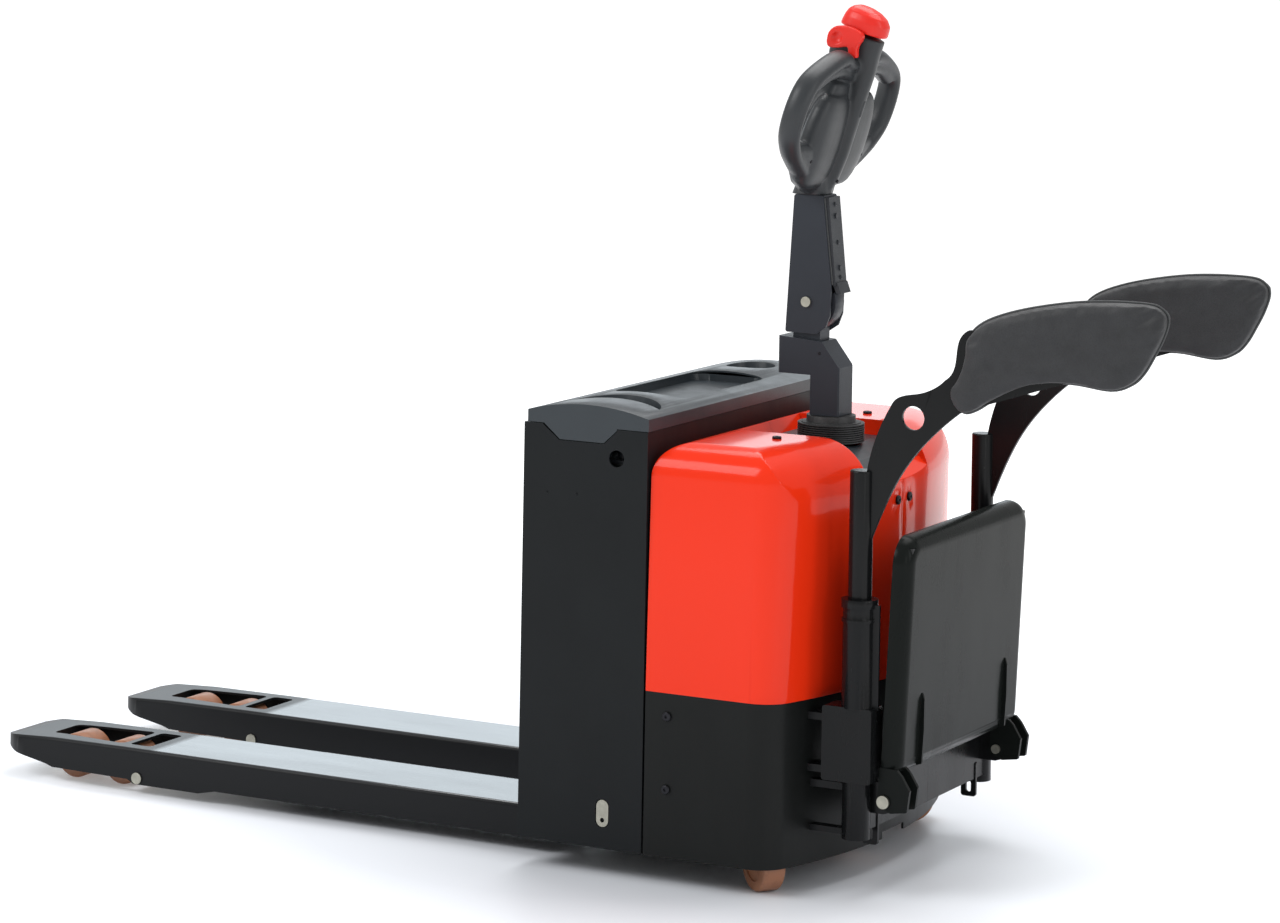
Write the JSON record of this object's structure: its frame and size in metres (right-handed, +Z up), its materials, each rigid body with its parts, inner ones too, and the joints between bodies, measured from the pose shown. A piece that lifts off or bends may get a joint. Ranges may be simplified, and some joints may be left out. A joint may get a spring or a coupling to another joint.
{
  "type": "electric pallet truck",
  "caption": "Rider pallet truck with twin forks on tandem load wheels, a battery box, a hooded drive unit with tiller, a fold-up platform and padded guard arms.",
  "frame": {"origin": "bottom centre of the whole truck at rest: floor level, on the mid-plane, halfway between the fork tips and the tips of the guard pads", "axes": "+X from the forks towards the operator, +Y to the right hand of a person looking towards the forks, +Z up"},
  "size_m": [2.2706, 0.743, 1.4805],
  "materials": {
    "black_frame_paint": "satin black powder coat, fine orange-peel",
    "orange_hood": "glossy orange-red moulded shell",
    "dark_plastic": "fine-grained moulded plastic",
    "platform_paint": "satin dark grey coat",
    "black_rubber": "matt rubber",
    "pad_skin": "soft grained skin over foam",
    "red_control": "red moulded control",
    "switch_black": "matt moulded control",
    "black_screws": "blackened socket screws",
    "zinc_steel": "zinc plated",
    "chrome_rod": "hard chromed rod",
    "polyurethane": "amber-brown polyurethane",
    "nylon": "pale nylon",
    "cast_parts": "painted casting",
    "motor_alloy": "die-cast housing",
    "tank_plastic": "moulded tank",
    "battery_steel": "coated steel tray",
    "cell_plastic": "moulded cells"
  },
  "bodies": {
    "power_unit": {"chassis_frame": "black_frame_paint", "skirt_cover": "black_frame_paint", "hood_left": "orange_hood", "hood_right": "orange_hood", "hood_deck": "dark_plastic", "cover_screws": "black_screws", "pump_motor": "motor_alloy", "oil_tank": "tank_plastic", "motor_controller": "motor_alloy", "lift_cylinder": "cast_parts", "bearing_outer_ring": "zinc_steel", "guard_bracket_left": "black_frame_paint", "guard_bracket_right": "black_frame_paint", "platform_hinge_pins": "zinc_steel"},
    "lift_frame": {"battery_box": "black_frame_paint", "shaft_retainers": "zinc_steel", "battery_tray": "battery_steel", "battery_cells": "cell_plastic", "fork_left": "black_frame_paint", "fork_right": "black_frame_paint", "carrier_pins": "zinc_steel", "lift_rod": "chrome_rod"},
    "lid": {"battery_lid": "dark_plastic"},
    "rocker": {"lift_rocker": "zinc_steel"},
    "push_rod_left": {"push_rod_left": "zinc_steel"},
    "push_rod_right": {"push_rod_right": "zinc_steel"},
    "carrier_left": {"wheel_carrier_left": "zinc_steel"},
    "carrier_right": {"wheel_carrier_right": "zinc_steel"},
    "bogie_left": {"bogie_left": "zinc_steel"},
    "bogie_right": {"bogie_right": "zinc_steel"},
    "load_wheel_left_front": {"load_wheel_left_front": "polyurethane"},
    "load_wheel_left_rear": {"load_wheel_left_rear": "polyurethane"},
    "load_wheel_right_front": {"load_wheel_right_front": "polyurethane"},
    "load_wheel_right_rear": {"load_wheel_right_rear": "polyurethane"},
    "entry_roller_left": {"entry_roller_left": "nylon"},
    "entry_roller_right": {"entry_roller_right": "nylon"},
    "drive_unit": {"gearbox": "cast_parts", "traction_motor": "motor_alloy", "gooseneck": "black_frame_paint", "column_bellows": "black_rubber", "tiller_pivot_bolt": "zinc_steel"},
    "drive_wheel": {"drive_wheel_hub": "cast_parts", "drive_wheel_tyre": "polyurethane"},
    "tiller": {"tiller_arm": "black_frame_paint", "tiller_front_cover": "dark_plastic", "handle_body": "dark_plastic", "handle_loops": "dark_plastic"},
    "throttle": {"throttle_butterfly": "red_control"},
    "reverse_button": {"reverse_button": "red_control"},
    "lift_switch": {"lift_switch": "switch_black"},
    "platform": {"platform_pan": "platform_paint", "platform_mat": "black_rubber"},
    "guard_left": {"guard_post_left": "black_frame_paint", "guard_pad_left": "pad_skin"},
    "guard_right": {"guard_post_right": "black_frame_paint", "guard_pad_right": "pad_skin"},
    "castor_left": {"castor_fork_left": "black_frame_paint"},
    "castor_right": {"castor_fork_right": "black_frame_paint"},
    "castor_wheel_left": {"castor_wheel_left": "polyurethane"},
    "castor_wheel_right": {"castor_wheel_right": "polyurethane"}
  },
  "joints": [
    {"name": "lift", "type": "slide", "parent": "power_unit", "child": "lift_frame", "axis": [0, 0, 1], "range_m": [0, 0.12]},
    {"name": "rocker_turn", "type": "hinge", "parent": "lift_frame", "child": "rocker", "pos_m": [0.178, 0, 0.096], "axis": [0, 1, 0], "range_deg": [0, 47.2]},
    {"name": "push_rod_left", "type": "slide", "parent": "lift_frame", "child": "push_rod_left", "axis": [-1, 0, 0], "range_m": [0, 0.0336]},
    {"name": "carrier_left", "type": "hinge", "parent": "lift_frame", "child": "carrier_left", "pos_m": [-0.825, -0.195, 0.029], "axis": [0, -1, 0], "range_deg": [0, 69]},
    {"name": "bogie_left", "type": "hinge", "parent": "carrier_left", "child": "bogie_left", "pos_m": [-0.946, -0.195, 0.04], "axis": [0, 1, 0], "range_deg": [0, 69]},
    {"name": "load_wheel_left_front_roll", "type": "hinge", "parent": "bogie_left", "child": "load_wheel_left_front", "pos_m": [-0.998, -0.195, 0.04], "axis": [0, 1, 0], "continuous": true},
    {"name": "load_wheel_left_rear_roll", "type": "hinge", "parent": "bogie_left", "child": "load_wheel_left_rear", "pos_m": [-0.894, -0.195, 0.04], "axis": [0, 1, 0], "continuous": true},
    {"name": "entry_roller_left_roll", "type": "hinge", "parent": "lift_frame", "child": "entry_roller_left", "pos_m": [-1.065, -0.195, 0.04], "axis": [0, 1, 0], "continuous": true},
    {"name": "push_rod_right", "type": "slide", "parent": "lift_frame", "child": "push_rod_right", "axis": [-1, 0, 0], "range_m": [0, 0.0336]},
    {"name": "carrier_right", "type": "hinge", "parent": "lift_frame", "child": "carrier_right", "pos_m": [-0.825, 0.195, 0.029], "axis": [0, -1, 0], "range_deg": [0, 69]},
    {"name": "bogie_right", "type": "hinge", "parent": "carrier_right", "child": "bogie_right", "pos_m": [-0.946, 0.195, 0.04], "axis": [0, 1, 0], "range_deg": [0, 69]},
    {"name": "load_wheel_right_front_roll", "type": "hinge", "parent": "bogie_right", "child": "load_wheel_right_front", "pos_m": [-0.998, 0.195, 0.04], "axis": [0, 1, 0], "continuous": true},
    {"name": "load_wheel_right_rear_roll", "type": "hinge", "parent": "bogie_right", "child": "load_wheel_right_rear", "pos_m": [-0.894, 0.195, 0.04], "axis": [0, 1, 0], "continuous": true},
    {"name": "entry_roller_right_roll", "type": "hinge", "parent": "lift_frame", "child": "entry_roller_right", "pos_m": [-1.065, 0.195, 0.04], "axis": [0, 1, 0], "continuous": true},
    {"name": "lid_open", "type": "hinge", "parent": "lift_frame", "child": "lid", "pos_m": [0.024, 0, 0.766], "axis": [0, -1, 0], "range_deg": [0, 80]},
    {"name": "steer", "type": "hinge", "parent": "power_unit", "child": "drive_unit", "pos_m": [0.424, 0, 0.29], "axis": [0, 0, 1], "range_deg": [-90, 90]},
    {"name": "drive_wheel_roll", "type": "hinge", "parent": "drive_unit", "child": "drive_wheel", "pos_m": [0.424, 0, 0.115], "axis": [0, 1, 0], "continuous": true},
    {"name": "tiller_tilt", "type": "hinge", "parent": "drive_unit", "child": "tiller", "pos_m": [0.386, 0, 0.96], "axis": [0, 1, 0], "range_deg": [0, 80], "stiffness_Nm_per_rad": 15, "springref_deg": -34.38},
    {"name": "throttle_turn", "type": "hinge", "parent": "tiller", "child": "throttle", "pos_m": [0.46386, 0, 1.42129], "axis": [0, 1, 0], "range_deg": [-15, 15], "stiffness_Nm_per_rad": 0.2},
    {"name": "reverse_press", "type": "slide", "parent": "tiller", "child": "reverse_button", "axis": [-0.3123, 0, -0.95], "range_m": [0, 0.003], "stiffness_N_per_m": 2000, "springref_m": -0.001},
    {"name": "lift_switch_rock", "type": "hinge", "parent": "tiller", "child": "lift_switch", "pos_m": [0.46815, 0, 1.29988], "axis": [0, 1, 0], "range_deg": [-7, 7], "stiffness_Nm_per_rad": 0.1},
    {"name": "platform_fold", "type": "hinge", "parent": "power_unit", "child": "platform", "pos_m": [0.653, 0, 0.166], "axis": [0, 1, 0], "range_deg": [0, 87.5], "stiffness_Nm_per_rad": 10, "springref_deg": -34.38},
    {"name": "guard_swing_left", "type": "hinge", "parent": "power_unit", "child": "guard_left", "pos_m": [0.602, -0.261, 0.6], "axis": [0, 0, 1], "range_deg": [-155, 0]},
    {"name": "guard_swing_right", "type": "hinge", "parent": "power_unit", "child": "guard_right", "pos_m": [0.602, 0.261, 0.6], "axis": [0, 0, -1], "range_deg": [-155, 0]},
    {"name": "castor_swivel_left", "type": "hinge", "parent": "power_unit", "child": "castor_left", "pos_m": [0.433, -0.286, 0.115], "axis": [0, 0, 1], "continuous": true},
    {"name": "castor_roll_left", "type": "hinge", "parent": "castor_left", "child": "castor_wheel_left", "pos_m": [0.45191, -0.30078, 0.045], "axis": [0.6157, 0.788, 0], "continuous": true},
    {"name": "castor_swivel_right", "type": "hinge", "parent": "power_unit", "child": "castor_right", "pos_m": [0.433, 0.286, 0.115], "axis": [0, 0, 1], "continuous": true},
    {"name": "castor_roll_right", "type": "hinge", "parent": "castor_right", "child": "castor_wheel_right", "pos_m": [0.45191, 0.30078, 0.045], "axis": [-0.6157, 0.788, 0], "continuous": true}
  ],
  "couplings": [
    {"joint": "rocker_turn", "follows": "lift", "rad_per_m": 6.865},
    {"joint": "push_rod_left", "follows": "lift", "ratio": 0.28},
    {"joint": "carrier_left", "follows": "lift", "rad_per_m": 10.036},
    {"joint": "bogie_left", "follows": "lift", "rad_per_m": 10.036},
    {"joint": "push_rod_right", "follows": "lift", "ratio": 0.28},
    {"joint": "carrier_right", "follows": "lift", "rad_per_m": 10.036},
    {"joint": "bogie_right", "follows": "lift", "rad_per_m": 10.036}
  ]
}
